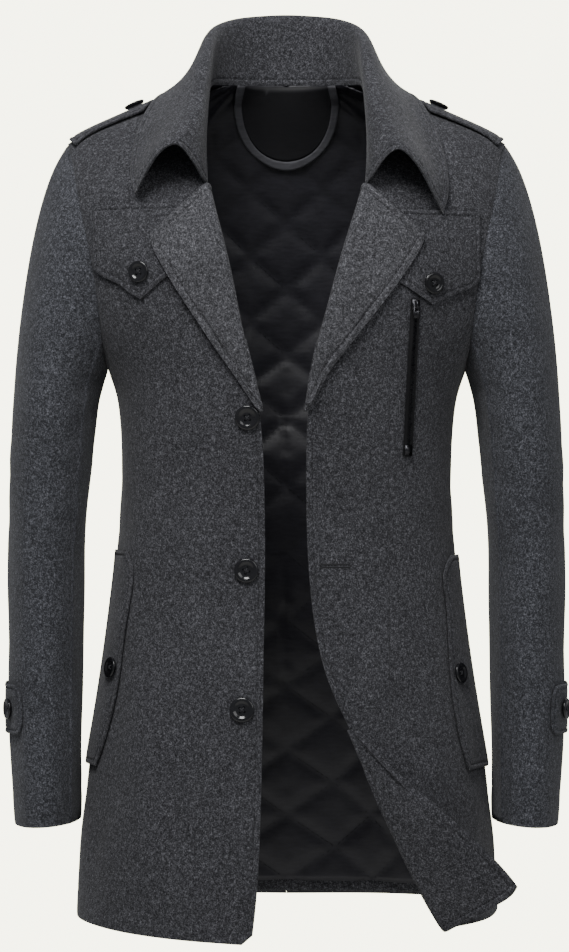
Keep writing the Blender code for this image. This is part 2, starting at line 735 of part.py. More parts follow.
def up_to_neck(p):
    """A point inside the back, moved straight up or down to just under the collar's seam."""
    seam = [(x, z) for z, x in NECKLINE_BACK]
    return np.array([p[0], p[1], smooth(seam, 1, abs(p[0])) - NECK_GAP])


def make_lining():
    """Quilted diamonds raised towards the inside, over a plain face next to the cloth."""
    low, high = LINING_HEIGHTS
    under, over = [], []
    for r, z in enumerate(np.linspace(low, high, LINING_ROWS + 1)):
        under_row, over_row = [], []
        half = LINING_HALF_ANGLE
        if z > ARMHOLE[0][0]:
            half = min(half, ring_angle(smooth(ARMHOLE, 1, min(z, ARMHOLE[-1][0])) - ARMHOLE_TURNING, z))
        for c, angle in enumerate(np.linspace(180 - half, 180 + half, LINING_COLUMNS + 1)):
            p = on_ring(angle, z)
            rim = r in (0, LINING_ROWS) or c in (0, LINING_COLUMNS)
            rise = 0 if rim or (r + c) % 2 else QUILT_RISE
            under_row.append(lifted(p, -LINING_DEPTH))
            over_row.append(lifted(p, -LINING_DEPTH - LINING_CLOTH - rise))
            if r == LINING_ROWS:
                under_row[-1] = up_to_neck(under_row[-1])
                over_row[-1] = up_to_neck(over_row[-1])
        under.append(under_row)
        over.append(over_row)
    wall("lining_back", over, under, LINING)


def inside(name, grid, depth, thickness, look, top=None):
    """A wall inside the back, its outer face that deep under the form's points, `top` of them at the neck."""
    grid = np.asarray(grid)
    out = normals_over(grid)
    faces = [grid - out * depth, grid - out * (depth + thickness)]
    if top:
        for face in faces:
            points = face[top]
            face[top] = np.reshape([up_to_neck(p) for p in points.reshape(-1, 3)], points.shape)
    wall(name, *faces, look)


def make_hem_band():
    angles = np.linspace(180 - LINING_HALF_ANGLE, 180 + LINING_HALF_ANGLE, 17)
    grid = [[on_ring(angle, z) for angle in angles] for z in HEM_BAND_HEIGHTS]
    inside("hem_band", grid, CLOTH + 1.4, 1.4, WOOL)


def behind_neck(x, z):
    return on_ring(180 - ring_angle(x, z), z) * (math.copysign(1, x), 1, 1)


def facing_edge(share, extra):
    """The facing's rounded lower edge, at a share of its half width, and the way it widens."""
    a = math.radians(90 * share)
    x = (FACING_HALF_WIDTH + extra) * math.sin(a)
    return x, FACING_TOP + (FACING_BOTTOM - extra - FACING_TOP) * math.cos(a) ** 0.9


def binding_line(extra):
    """Up along the facing's straight sides and round its lower edge."""
    x, low = facing_edge(FACING_SHARES[-1], extra)[0], facing_edge(FACING_SHARES[-1], -SEAM)[1]
    arm = [(x, FACING_TOP + (low - FACING_TOP) * v) for v in FACING_ROWS]
    curve = [facing_edge(share, extra) for share in FACING_SHARES]
    return [(-x, z) for x, z in arm] + curve + arm[::-1]


def make_neck_facing():
    depth = LINING_DEPTH + LINING_CLOTH + QUILT_RISE + REST * 2
    grid = []
    for v in (*FACING_ROWS, 1):
        line = []
        for share in FACING_SHARES:
            x, z = facing_edge(share, -SEAM)
            line.append(behind_neck(x, FACING_TOP + (z - FACING_TOP) * v))
        grid.append(line)
    inside("neck_facing", grid, depth, 1.0, LINING, (0, slice(None)))
    rim = [[behind_neck(x, z) for x, z in binding_line(extra)] for extra in (0, BINDING_WIDTH)]
    inside("neck_binding", rim, depth, 1.6, BINDING, (slice(None), [0, -1]))


# ---- the chest zip ----


def block(name, frame, low, high, look=None):
    """A box between two corners given along the zip's width, down its length and out of the cloth."""
    size = (np.array(high) - low) * MM
    shape = bmesh.new()
    bmesh.ops.create_cube(shape, size=1)
    bmesh.ops.scale(shape, verts=shape.verts, vec=size)
    mesh = bpy.data.meshes.new(name)
    shape.to_mesh(mesh)
    shape.free()
    if look:
        obj = add(name, mesh, look)
    else:
        obj = bpy.data.objects.new(name, mesh)
        CUTTERS.objects.link(obj)
        obj.hide_render = True
        obj.display_type = "WIRE"
    middle = Matrix.Translation((np.array(high) + low) / 2 * MM)
    obj.matrix_world = frame @ middle
    return obj


def cut(obj, operation, other):
    change = obj.modifiers.new(other.name, "BOOLEAN")
    change.operation = operation
    change.object = other


def make_zip():
    """Tape on the right chest, a slider near its top, a stop at its foot, a pull tab on the arch."""
    top, bottom = (on_front(*place) for place in (ZIP_TOP, ZIP_BOTTOM))
    out = torso_normal((top + bottom) / 2)
    down = unit(bottom - top)
    wide = np.cross(out, down)
    grid = []
    for t in np.linspace(0, 1, 9):
        middle = top + (bottom - top) * t
        grid.append([on_front(*(middle + wide * k * ZIP_TAPE_WIDTH / 2)[[0, 2]]) for k in (-1, 0, 1)])
    lying("zip_tape", grid, REST, ZIP_TAPE, TAPE)

    on_tape = REST + ZIP_TAPE + SEAM
    frame = zip_frame(blend(top, bottom, ZIP_SLIDER_SHARE), on_tape)
    slider = block("zip_slider", frame, (-4, -5, 0), (4, 5, 1.5), METAL)
    cut(slider, "UNION", block("slider_arch", frame, (-1, -4, 1.2), (1, 4, 4.7)))
    cut(slider, "DIFFERENCE", block("slider_gap", frame, (-2, -3, 1.5), (2, 3, 3.7)))
    axis = frame @ Matrix.Translation(np.array(PULL_AXIS) * MM)
    pull = block("zip_pull", axis, (-2.75, -0.5, -0.5), (2.75, PULL_LENGTH, 0.5), METAL)
    cut(pull, "DIFFERENCE", block("pull_slot", axis, (-1.5, 0.5, -1), (1.5, 4, 1)))
    hold_axis(pull, axis)
    foot = zip_frame(blend(top, bottom, ZIP_STOP_SHARE), on_tape)
    block("zip_stop", foot, (-4.2, -5, 0), (4.2, 5, 1.3), METAL)


def zip_frame(place, height):
    """Along the zip's width, down its length and out of the cloth, over the form's point there."""
    p = on_front(place[0], place[2])
    out = torso_normal(p)
    down = np.array([ZIP_BOTTOM[0] - ZIP_TOP[0], 0, ZIP_BOTTOM[1] - ZIP_TOP[1]])
    down = unit(down - out * (down @ out))
    wide = np.cross(down, out)
    return frame_at(wide, down, out, lifted(p, height))


def hold_axis(obj, axis):
    """Puts the object's origin on its joint's axis and leaves its shape where it is."""
    obj.data.transform(axis.inverted() @ obj.matrix_world)
    obj.matrix_world = axis


# ---- the coat ----

for old in list(bpy.data.objects):
    bpy.data.objects.remove(old)
COAT = collection("pea_coat")
CUTTERS = collection("cutters")

bodies = {-1: body_side(-1), 1: body_side(1)}
make_collar(bodies)
for side, hand in ((-1, "left"), (1, "right")):
    body = bodies[side]
    join_sleeve(body, side, hand)
    wall(f"front_{hand}", body["front"], body["front"] + body["front_in"], WOOL)
    wall(f"back_{hand}", body["back"], body["back"] + body["back_in"], WOOL)
    make_lapel(body["front"], side, hand)
    make_chest_flap(side, hand)
    make_pocket_flap(side, hand)
    make_epaulette(side, hand)
    make_cuff_strap(side, hand)
make_turnback(bodies[1]["front"])
make_buttons()
make_lining()
make_hem_band()
make_neck_facing()
make_zip()
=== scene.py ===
import math

import bmesh
import bpy
import numpy as np
from mathutils import Matrix, Vector
from mathutils.bvhtree import BVHTree
from mathutils.kdtree import KDTree


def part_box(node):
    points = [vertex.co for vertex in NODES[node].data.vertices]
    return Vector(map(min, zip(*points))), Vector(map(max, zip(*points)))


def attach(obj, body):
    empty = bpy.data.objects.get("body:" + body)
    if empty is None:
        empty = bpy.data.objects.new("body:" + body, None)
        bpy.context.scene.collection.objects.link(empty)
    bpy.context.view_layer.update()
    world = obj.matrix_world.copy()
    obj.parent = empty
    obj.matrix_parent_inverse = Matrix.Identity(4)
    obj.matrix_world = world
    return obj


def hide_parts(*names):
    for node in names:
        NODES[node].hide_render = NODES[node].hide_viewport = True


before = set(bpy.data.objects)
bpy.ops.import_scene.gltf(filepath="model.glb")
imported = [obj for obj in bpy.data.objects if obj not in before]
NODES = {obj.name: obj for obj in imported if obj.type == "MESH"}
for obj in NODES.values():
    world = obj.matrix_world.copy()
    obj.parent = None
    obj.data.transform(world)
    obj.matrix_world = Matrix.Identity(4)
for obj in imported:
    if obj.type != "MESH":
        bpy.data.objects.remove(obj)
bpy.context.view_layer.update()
HANDS = ("left", "right")

# ---------------------------------------------------------------- camera, floor and light

EYE = (-0.002, -3.0, -0.371)
LENS = 113.4
PALE = (0.888, 0.88, 0.84, 1)
BRIGHT = (0.888, 0.874, 0.68, 1)
FLOOR = -1.5
SEEN, SOFT = 7.2, 0.26
# name, place, what it points at, its two sides and its power
LAMPS = (
    ("key", (-0.45, -1.4, 1.45), (0, 0, -0.05), (1.0, 1.0), 52),
    ("fill", (1.2, -2.1, 0.9), (0, 0, -0.2), (1.2, 1.4), 15),
    ("back", (0.3, 1.8, 1.6), (0, 0, -0.3), (1.6, 1.2), 26),
)


def linked(name, data):
    made = bpy.data.objects.new(name, data)
    bpy.context.scene.collection.objects.link(made)
    return made


def make_camera():
    data = bpy.data.cameras.new("camera")
    data.lens = LENS
    data.sensor_width = 36
    data.clip_end = 30
    camera = linked("camera", data)
    camera.location = EYE
    camera.rotation_euler = (math.pi / 2, 0, 0)
    bpy.context.scene.camera = camera


def area_light(name, place, aim, size, power):
    data = bpy.data.lights.new(name, "AREA")
    data.shape = "RECTANGLE"
    data.size, data.size_y = size
    data.energy = power
    lamp = linked(name, data)
    lamp.location = place
    lamp.rotation_euler = (Vector(aim) - Vector(place)).to_track_quat("-Z", "Y").to_euler()


def make_studio():
    """A bright pale background that lights the coat only softly, three soft lamps, and the floor."""
    world = bpy.data.worlds.new("studio")
    world.use_nodes = True
    tree = world.node_tree
    seen = tree.nodes.new("ShaderNodeBackground")
    seen.inputs["Color"].default_value = BRIGHT
    seen.inputs["Strength"].default_value = SEEN
    soft = tree.nodes["Background"]
    soft.inputs["Color"].default_value = (0.9, 0.93, 1.0, 1)
    soft.inputs["Strength"].default_value = SOFT
    path = tree.nodes.new("ShaderNodeLightPath")
    either = tree.nodes.new("ShaderNodeMixShader")
    tree.links.new(path.outputs["Is Camera Ray"], either.inputs[0])
    tree.links.new(soft.outputs[0], either.inputs[1])
    tree.links.new(seen.outputs[0], either.inputs[2])
    tree.links.new(either.outputs[0], tree.nodes["World Output"].inputs["Surface"])
    bpy.context.scene.world = world
    for name, place, aim, size, power in LAMPS:
        area_light(name, place, aim, size, power)
    mesh = bpy.data.meshes.new("floor")
    mesh.from_pydata([(-4, -4, FLOOR), (4, -4, FLOOR), (4, 4, FLOOR), (-4, 4, FLOOR)], [], [(0, 1, 2, 3)])
    floor = linked("floor", mesh)
    look = bpy.data.materials.new("pale_floor")
    look.use_nodes = True
    shader = look.node_tree.nodes["Principled BSDF"]
    shader.inputs["Base Color"].default_value = PALE
    shader.inputs["Roughness"].default_value = 0.95
    shader.inputs["Specular IOR Level"].default_value = 0.0
    mesh.materials.append(look)


# ---------------------------------------------------------------- materials


class Look:
    """A material that is built node by node from the object's own coordinates."""

    def __init__(self, name, roughness, metal=0.0):
        self.material = bpy.data.materials.new(name)
        self.material.use_nodes = True
        self.tree = self.material.node_tree
        self.shader = self.tree.nodes["Principled BSDF"]
        self.shader.inputs["Roughness"].default_value = roughness
        self.shader.inputs["Metallic"].default_value = metal
        self.place = self.node("ShaderNodeTexCoord").outputs["Object"]

    def node(self, kind, links=(), **values):
        made = self.tree.nodes.new(kind)
        for key, value in values.items():
            if key in made.inputs:
                made.inputs[key].default_value = value
            else:
                setattr(made, key, value)
        for socket, source in links:
            self.tree.links.new(source, made.inputs[socket])
        return made

    def link(self, source, socket):
        self.tree.links.new(source, self.shader.inputs[socket])

    def noise(self, scale, detail=3.0, rough=0.6, stretch=None):
        place = self.place
        if stretch:
            place = self.node("ShaderNodeMapping", [("Vector", place)], Scale=stretch).outputs["Vector"]
        made = self.node(
            "ShaderNodeTexNoise", [("Vector", place)], Scale=scale, Detail=detail, Roughness=rough
        )
        return made.outputs["Fac"]

    def ramp(self, source, stops):
        made = self.node("ShaderNodeValToRGB", [("Fac", source)])
        elements = made.color_ramp.elements
        while len(elements) < len(stops):
            elements.new(0.5)
        for element, (at, colour) in zip(elements, stops):
            element.position = at
            element.color = (*colour, 1)
        return made.outputs["Color"]

    def mix(self, first, second, kind="MULTIPLY", share=1.0):
        made = self.node("ShaderNodeMix", data_type="RGBA", blend_type=kind)
        made.inputs[0].default_value = share
        self.tree.links.new(first, made.inputs[6])
        self.tree.links.new(second, made.inputs[7])
        return made.outputs[2]

    def bump(self, height, strength, distance, under=None):
        links = [("Height", height)] + ([("Normal", under)] if under else [])
        made = self.node("ShaderNodeBump", links, Strength=strength, Distance=distance)
        return made.outputs["Normal"]


def grey(level):
    return (level, level, level)


def wool(name, dark, mid, light):
    """Fulled heather: dark and pale fibres, matted clumps, single pale hairs and a faint diagonal weave."""
    look = Look(name, 0.93)
    fibre = look.noise(700.0, 4.0, 0.8)
    colour = look.ramp(fibre, [(0.34, dark), (0.5, mid), (0.66, light)])
    clump = look.noise(290.0, 3.0, 0.65)
    colour = look.mix(colour, look.ramp(clump, [(0.32, grey(0.55)), (0.5, grey(0.95)), (0.68, grey(1.55))]))
    hair = look.noise(900.0, 2.0, 0.5, stretch=(1.0, 1.0, 0.35))
    colour = look.mix(colour, look.ramp(hair, [(0.60, grey(0.0)), (0.72, light)]), "ADD", 0.55)
    patchy = look.noise(16.0, 3.0, 0.55)
    colour = look.mix(colour, look.ramp(patchy, [(0.3, grey(0.9)), (0.7, grey(1.1))]))
    look.link(colour, "Base Color")
    mapping = look.node("ShaderNodeMapping", [("Vector", look.place)], Rotation=(0.0, 0.7, 0.0))
    turned = mapping.outputs["Vector"]
    weave = look.node("ShaderNodeTexWave", [("Vector", turned)], Scale=150.0, Distortion=6.0, Detail=2.0)
    relief = look.bump(weave.outputs["Fac"], 0.12, 0.0004)
    relief = look.bump(clump, 0.5, 0.0008, relief)
    relief = look.bump(fibre, 0.6, 0.0005, relief)
    look.link(relief, "Normal")
    look.shader.inputs["Sheen Weight"].default_value = 0.1
    look.shader.inputs["Sheen Roughness"].default_value = 0.5
    look.shader.inputs["Specular IOR Level"].default_value = 0.15
    return look.material


def fine_cloth(name, colour, roughness, rib=0.0, spread=0.25, shine=0.3):
    """Closely woven cloth: two crossing sets of threads, with slubs that vary its colour and gloss."""
    look = Look(name, roughness)
    across = look.node("ShaderNodeTexWave", [("Vector", look.place)], Scale=520.0, Distortion=1.5, Detail=1.0,
                       bands_direction="X")
    down = look.node("ShaderNodeTexWave", [("Vector", look.place)], Scale=520.0, Distortion=1.5, Detail=1.0,
                     bands_direction="Z")
    slub = look.noise(90.0, 4.0, 0.6, stretch=(1.0, 1.0, 4.0))
    low = tuple(c * (1 - spread) for c in colour)
    high = tuple(c * (1 + spread) for c in colour)
    look.link(look.ramp(slub, [(0.3, low), (0.7, high)]), "Base Color")
    gloss = look.node("ShaderNodeMapRange", [("Value", slub)])
    gloss.inputs["To Min"].default_value = roughness - 0.06
    gloss.inputs["To Max"].default_value = roughness + 0.08
    look.link(gloss.outputs["Result"], "Roughness")
    relief = look.bump(across.outputs["Fac"], 0.2 + rib, 0.0001)
    relief = look.bump(down.outputs["Fac"], 0.2, 0.0001, relief)
    relief = look.bump(look.noise(25.0, 3.0, 0.5), 0.25, 0.002, relief)
    look.link(relief, "Normal")
    look.shader.inputs["Specular IOR Level"].default_value = shine
    return look.material


def hard(name, colour, roughness, metal=0.0, cloudy=30.0, scratch=0.00002):
    """Horn or metal: a cloudy colour, fine scratches and a gloss that is duller where it is worn."""
    look = Look(name, roughness, metal)
    cloud = look.noise(cloudy, 4.0, 0.6)
    low = tuple(c * 0.6 for c in colour)
    high = tuple(c * 1.6 for c in colour)
    look.link(look.ramp(cloud, [(0.35, low), (0.65, high)]), "Base Color")
    worn = look.noise(260.0, 3.0, 0.6)
    gloss = look.node("ShaderNodeMapRange", [("Value", worn)])
    gloss.inputs["From Min"].default_value = 0.35
    gloss.inputs["From Max"].default_value = 0.75
    gloss.inputs["To Min"].default_value = roughness * 0.8
    gloss.inputs["To Max"].default_value = roughness * 1.7
    look.link(gloss.outputs["Result"], "Roughness")
    look.link(look.bump(look.noise(1200.0, 2.0, 0.5, stretch=(1.0, 1.0, 0.1)), 0.2, scratch), "Normal")
    return look.material


BODY_WOOL = wool("body_wool", (0.008, 0.008, 0.0095), (0.034, 0.034, 0.0385), (0.115, 0.116, 0.127))
SLEEVE_WOOL = wool("sleeve_wool", (0.009, 0.0095, 0.0115), (0.039, 0.0405, 0.0465), (0.125, 0.128, 0.145))
FACING_WOOL = wool("facing_wool", (0.014, 0.014, 0.016), (0.050, 0.050, 0.0555), (0.15, 0.151, 0.163))
LINING = fine_cloth("lining_cloth", (0.019, 0.0185, 0.023), 0.36)
FACING_LINING = fine_cloth("neck_facing_cloth", (0.007, 0.007, 0.0085), 0.62)
BINDING = fine_cloth("binding_cloth", (0.06, 0.06, 0.067), 0.72, rib=0.3)
TAPE = fine_cloth("zip_tape_cloth", (0.004, 0.004, 0.005), 0.7, rib=0.5)
HORN = hard("button_horn", (0.006, 0.006, 0.007), 0.12)
METAL = hard("dark_metal", (0.035, 0.035, 0.038), 0.28, metal=1.0, cloudy=200.0)
THREAD = fine_cloth("thread", (0.010, 0.010, 0.012), 0.65)
PALE_THREAD = fine_cloth("button_thread", (0.03, 0.03, 0.034), 0.6)

# ---------------------------------------------------------------- folds

# Round the body the place runs from the middle of the front (0) to the middle of the back (502),
# and round a sleeve from its front (0) to its outer line (66) and its back (132); all in mm.
# start place, start height, end place, end height, width, rise (a trough where it is below 0)
TORSO_FOLDS = (
    (-95, -560, -112, -800, 24, 2.2), (-150, -540, -172, -800, 20, -2.0), (-205, -600, -222, -790, 22, 1.6),
    (118, -520, 132, -700, 22, 1.8), (168, -560, 186, -800, 20, -1.8), (214, -600, 226, -790, 20, 1.4),
    (-262, -372, -150, -432, 13, -1.6), (-258, -420, -170, -452, 10, -1.2),
    (262, -366, 152, -424, 13, -1.6), (258, -416, 172, -452, 10, -1.2),
    (-226, -282, -150, -352, 13, -1.5), (226, -286, 168, -352, 12, -1.3),
    (-300, -380, -420, -424, 14, -2.2), (-310, -424, -440, -448, 11, -1.8),
    (300, -384, 428, -430, 14, -2.2), (306, -430, 432, -462, 11, -1.6),
    (-470, -396, -380, -470, 13, -1.4), (474, -402, 392, -476, 13, -1.4),
    (-292, -170, -430, -232, 16, -2.0), (292, -176, 424, -228, 16, -2.0),
    (-330, -560, -344, -800, 26, 2.6), (-392, -540, -404, -800, 22, -2.4), (-450, -520, -456, -800, 26, 2.2),
    (330, -560, 340, -800, 26, 2.4), (388, -548, 398, -800, 22, -2.4), (452, -520, 458, -800, 26, 2.2),
)
SLEEVE_FOLDS = (
    (-62, -352, 18, -392, 8, -2.2), (-58, -384, 26, -404, 7, -2.4), (-60, -420, 10, -424, 8, -2.0),
    (-52, -452, 20, -438, 9, -1.5), (40, -366, 96, -384, 11, -1.0), (56, -420, 120, -402, 11, -1.1),
    (-66, -292, -6, -342, 9, -1.8), (-64, -262, 4, -300, 10, -1.5), (70, -300, 30, -352, 12, -0.9),
    (-126, -300, -70, -352, 10, -1.6), (112, -330, 72, -372, 11, -1.2),
    (-40, -560, 12, -612, 11, -1.1), (60, -520, 30, -600, 13, 1.0), (100, -560, 116, -660, 12, -1.0),
)
# length round, length down, phase, rise
TORSO_WAVES = ((148, 520, 0.4, 0.7), (92, -760, 2.1, 0.5), (231, 310, 4.0, 0.6))
SLEEVE_WAVES = ((96, 260, 0.9, 0.5), (61, -170, 3.2, 0.4), (132, 120, 5.1, 0.35))


def eased(value, low, high):
    """0 below low, 1 above high, smooth between them."""
    t = np.clip((value - low) / (high - low), 0, 1)
    return t * t * (3 - 2 * t)


def rise_of(folds, waves, place, height):
    """The height of the folds and waves at places and heights in mm."""
    total = np.zeros(len(place))
    uneven = 1 + 0.3 * np.sin(place / 17 + height / 29) + 0.2 * np.sin(place / 9.0 - height / 13 + 1.7)
    for x0, z0, x1, z1, width, rise in folds:
        run = math.hypot(x1 - x0, z1 - z0)
        ux, uz = (x1 - x0) / run, (z1 - z0) / run
        along = ((place - x0) * ux + (height - z0) * uz) / run
        bow = 5 * np.sin(np.clip(along, 0, 1) * math.pi)
        beside = (place - x0) * uz - (height - z0) * ux + bow
        ends = eased(along, -0.05, 0.3) * eased(-along, -1.05, -0.7)
        total += rise * uneven * ends * np.exp(-(beside / width) ** 2)
    for wide, tall, phase, rise in waves:
        total += rise * np.sin(2 * math.pi * (place / wide + height / tall) + phase)
    return total


def torso_lift(points):
    """How the folds move points of the body's cloth, and how its side seams are drawn together, in metres."""
    x, y, z = points.T
    place = np.arctan2(x / 0.19, -y / 0.12) * 160
    height = z * 1000
    rise = rise_of(TORSO_FOLDS, TORSO_WAVES, place, height)
    rise *= eased(-height, 130, 250) * eased(np.abs(place), 70, 130)
    front = 1 - eased(np.abs(place), 190, 235)
    rise *= 1 - front * (1 - eased(-height, 370, 440))
    out = np.stack([x / 0.19 ** 2, y / 0.12 ** 2, np.zeros(len(x))], axis=1)
    out /= np.linalg.norm(out, axis=1)[:, None] + 1e-9
    lift = out * (rise * 0.001)[:, None]
    side = eased(np.abs(x), 0.12, 0.14) * eased(-z, 0.25, 0.28)
    lift[:, 1] -= np.sign(y) * 0.00014 * np.exp(-(y / 0.003) ** 2) * side
    return lift


def sleeve_line(hand):
    """The middle of a sleeve at each of its heights."""
    points = np.concatenate([
        np.array([v.co for v in NODES[f"sleeve_{part}_{hand}"].data.vertices]) for part in ("top", "under")
    ])
    heights = np.linspace(-0.70, -0.22, 17)
    rows = []
    for height in heights:
        near = points[np.abs(points[:, 2] - height) < 0.045]
        rows.append((near[:, :2].min(0) + near[:, :2].max(0)) / 2)
    return heights, np.array(rows)


SLEEVE_LINES = {hand: sleeve_line(hand) for hand in HANDS}


def sleeve_lift(hand):
    heights, middles = SLEEVE_LINES[hand]
    sign = 1 if hand == "right" else -1

    def lift(points):
        x, y, z = points.T
        dx = x - np.interp(z, heights, middles[:, 0])
        dy = y - np.interp(z, heights, middles[:, 1])
        place = np.arctan2(sign * dx, -dy) * 42
        height = z * 1000 + (9 if hand == "right" else 0)
        rise = rise_of(SLEEVE_FOLDS, SLEEVE_WAVES, place, height)
        rise *= eased(-height, 215, 285) * eased(height, -700, -660)
        out = np.stack([dx, dy, np.zeros(len(x))], axis=1)
        out /= np.linalg.norm(out, axis=1)[:, None] + 1e-9
        return out * (rise * 0.001)[:, None]

    return lift


LIFT = {"torso": torso_lift, "left": sleeve_lift("left"), "right": sleeve_lift("right")}

# ---------------------------------------------------------------- cloth on the solids' form

OUTER, INNER, RIM = 0, 1, 2
BAND = 0.0016


def welded(node, cuts=()):
    """The node's faces as one closed mesh of quads, cut along the given planes."""
    bm = bmesh.new()
    bm.from_mesh(NODES[node].data)
    bmesh.ops.remove_doubles(bm, verts=bm.verts, dist=1e-6)
    bmesh.ops.join_triangles(bm, faces=bm.faces, angle_face_threshold=0.6, angle_shape_threshold=1.2)
    for place, way in cuts:
        geometry = bm.verts[:] + bm.edges[:] + bm.faces[:]
        bmesh.ops.bisect_plane(bm, geom=geometry, plane_co=place, plane_no=way)
    return bm


def rims_of(bm, longest, sharp):
    """The faces on the cloth's rims: those with an edge that runs through the cloth's thickness."""
    rims = set()
    for edge in bm.edges:
        if edge.calc_length() > longest:
            continue
        way = (edge.verts[0].co - edge.verts[1].co).normalized()
        facing, whole = 0.0, 0.0
        for face in {f for v in edge.verts for f in v.link_faces} - set(edge.link_faces):
            facing += abs(face.normal.dot(way)) * face.calc_area()
            whole += face.calc_area()
        if facing > 0.6 * whole:
            for face in edge.link_faces:
                if any(e is not edge and e.calc_face_angle(0) > sharp for e in face.edges):
                    rims.add(face)
    return rims


# longest edge through the cloth's thickness, and sharpest bend within one side, in the order they are tried
RIM_TRIES = ((0.0045, 1.2), (0.0045, 1.0), (0.0045, 0.85), (0.006, 0.7), (0.008, 0.6), (0.011, 0.5))


def two_sides(bm, node):
    """The faces on either side of the cloth, told apart by its rims."""
    bm.normal_update()
    folded = node.startswith(("lapel", "turnback"))
    for longest, bend in RIM_TRIES:
        left, groups = set(bm.faces) - rims_of(bm, longest, 0.95 if folded else 0.0), []
        while left:
            first = left.pop()
            group, todo = [first], [first]
            while todo:
                for edge in todo.pop().edges:
                    for other in edge.link_faces:
                        if other in left and edge.calc_face_angle(0) < bend:
                            left.remove(other)
                            group.append(other)
                            todo.append(other)
            groups.append(group)
        groups.sort(key=lambda g: -sum(f.calc_area() for f in g))
        first, second = (sum(f.calc_area() for f in g) for g in (groups + [[]])[:2])
        if second > 0.75 * first:
            return groups[:2]
    raise RuntimeError(node + ": its two sides weren't told apart")


def sides_of(bm, node):
    """Marks each face as on the outer side, the inner side or a rim, and creases the rims' edges."""
    groups = two_sides(bm, node)
    middle = Vector((0, 0, 0))
    if node.startswith(("sleeve", "cuff")):
        heights, middles = SLEEVE_LINES[node.rsplit("_", 1)[1]]
        middle = Vector((*middles.mean(axis=0), 0))

    def outward(group):
        total = 0
        for face in group:
            away = face.calc_center_median() - middle
            away.z = 0.0 if "epaulette" not in node else 0.5
            total += face.normal.dot(away.normalized()) * face.calc_area()
        return total

    outer, inner = sorted(groups, key=lambda g: -outward(g))
    for face in bm.faces:
        face.material_index = RIM
    for face in outer:
        face.material_index = OUTER
    for face in inner:
        face.material_index = INNER
    crease = bm.edges.layers.float.get("crease_edge") or bm.edges.layers.float.new("crease_edge")
    for edge in bm.edges:
        kinds = [face.material_index for face in edge.link_faces]
        corner = kinds == [RIM, RIM] and edge.calc_face_angle(0) > 0.7
        edge[crease] = 1.0 if len(set(kinds)) > 1 or corner else 0.0
    return outer


def ringed(bm, outer, margin):
    """Two rings of faces inside the outer side's edge, one on each side of its row of stitches."""
    crease = bm.edges.layers.float["crease_edge"]
    for depth in (margin - BAND / 2, BAND):
        made = bmesh.ops.inset_region(
            bm, faces=outer, thickness=depth, use_boundary=True, use_even_offset=True
        )
        for face in made["faces"]:
            face.material_index = OUTER
        inside = set(outer)
        for face in outer:
            for edge in face.edges:
                edge[crease] = 0.0
        outer = list(inside)
    rims = {e for e in bm.edges if len({f.material_index for f in e.link_faces}) > 1}
    for edge in bm.edges:
        if edge not in rims and any(f.material_index == OUTER for f in edge.link_faces):
            edge[crease] = 0.0


def subdivided(bm, name, levels):
    mesh = bpy.data.meshes.new(name)
    bm.to_mesh(mesh)
    bm.free()
    for i in range(3):
        mesh.materials.append(BODY_WOOL)
    rough = linked(name + "_rough", mesh)
    finer = rough.modifiers.new("finer", "SUBSURF")
    finer.levels = levels
    finer.render_levels = levels
    made = bpy.data.meshes.new_from_object(rough.evaluated_get(bpy.context.evaluated_depsgraph_get()))
    bpy.data.objects.remove(rough)
    bpy.data.meshes.remove(mesh)
    made.name = name
    return made


def read(collection, key, width, kind=float):
    flat = np.zeros(len(collection) * width, kind)
    collection.foreach_get(key, flat)
    return flat.reshape(-1, width) if width > 1 else flat


